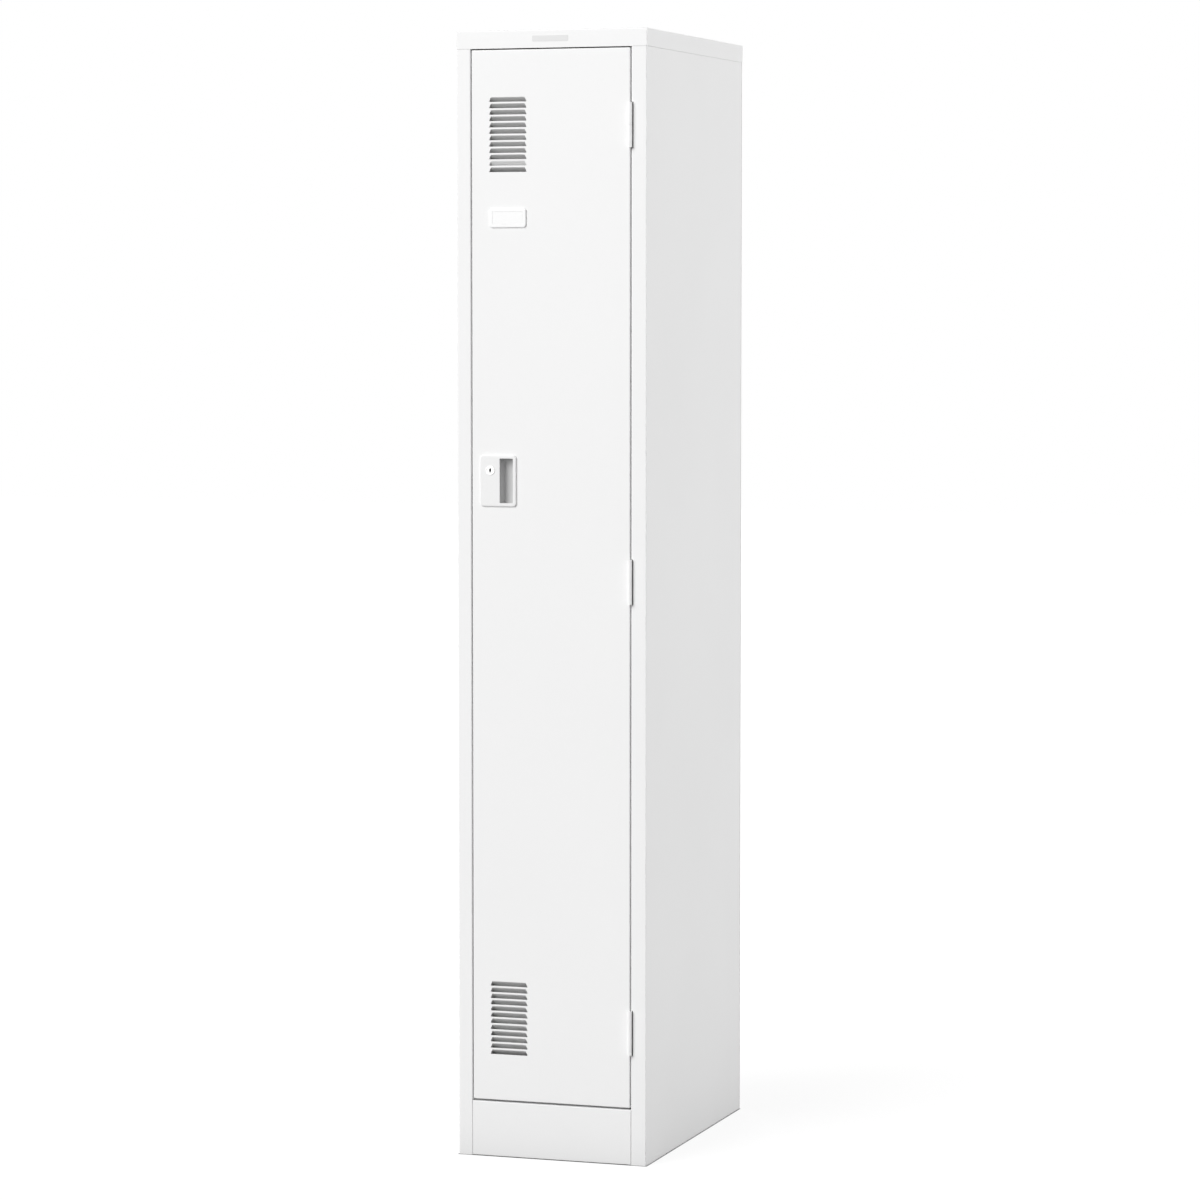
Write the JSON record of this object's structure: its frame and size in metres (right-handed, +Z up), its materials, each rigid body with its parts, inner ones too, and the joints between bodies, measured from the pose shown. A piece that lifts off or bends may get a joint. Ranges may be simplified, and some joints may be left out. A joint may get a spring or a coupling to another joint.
{
  "type": "personal locker",
  "caption": "Tall narrow free-standing sheet-steel personal locker with a louvred hinged door, cam lock with finger pull, card holder, hat shelf and clothes rod.",
  "frame": {"origin": "middle of the base, on the floor", "axes": "+Z up, the door faces -Y, its hinges are at +X"},
  "size_m": [0.317, 0.5217, 1.79],
  "materials": {
    "white_powder_coat": "satin powder coat",
    "white_abs": "satin moulding",
    "white_card": "matt",
    "chromed_steel": "polished",
    "satin_nickel": "satin",
    "zinc_plated_steel": "bright zinc",
    "grey_rubber": "matt",
    "ferrite": "matt",
    "mirror_glass": "polished"
  },
  "bodies": {
    "carcass": {"left_side_panel": "white_powder_coat", "left_front_post": "white_powder_coat", "left_rear_flange": "white_powder_coat", "left_foot_rail": "white_powder_coat", "right_side_panel": "white_powder_coat", "right_front_post": "white_powder_coat", "right_rear_flange": "white_powder_coat", "right_foot_rail": "white_powder_coat", "top_cap": "white_powder_coat", "back_panel": "white_powder_coat", "door_header": "white_powder_coat", "kick_plate": "white_powder_coat", "floor_panel": "white_powder_coat", "hat_shelf": "white_powder_coat", "hanger_rod": "chromed_steel", "rod_socket_left": "white_abs", "rod_socket_right": "white_abs", "umbrella_loop": "chromed_steel", "door_bumper_upper": "grey_rubber", "door_bumper_lower": "grey_rubber", "magnet_catch": "ferrite", "hinge_frame_leaf_upper": "white_powder_coat", "hinge_frame_leaf_middle": "white_powder_coat", "hinge_frame_leaf_lower": "white_powder_coat", "hinge_pin_upper": "white_powder_coat", "hinge_pin_middle": "white_powder_coat", "hinge_pin_lower": "white_powder_coat"},
    "door": {"door_panel": "white_powder_coat", "door_stiffener": "white_powder_coat", "hinge_door_leaf_upper": "white_powder_coat", "hinge_door_leaf_middle": "white_powder_coat", "hinge_door_leaf_lower": "white_powder_coat", "lock_case": "white_abs", "lock_back_plate": "zinc_plated_steel", "lock_barrel": "satin_nickel", "lock_nut": "zinc_plated_steel", "card_holder": "white_abs", "name_card": "white_card", "mirror": "mirror_glass", "mirror_clip_upper": "satin_nickel", "mirror_clip_lower": "satin_nickel", "towel_bar": "chromed_steel"},
    "lock": {"key_plug": "satin_nickel", "lock_cam": "zinc_plated_steel", "cam_screw": "zinc_plated_steel"}
  },
  "joints": [
    {"name": "door_hinge", "type": "hinge", "parent": "carcass", "child": "door", "pos_m": [0.1316, -0.261, 0.9255], "axis": [0, 0, 1], "range_deg": [0, 170]},
    {"name": "lock_turn", "type": "hinge", "parent": "door", "child": "lock", "pos_m": [-0.1014, -0.2345, 1.0987], "axis": [0, 1, 0], "range_deg": [0, 90]}
  ]
}
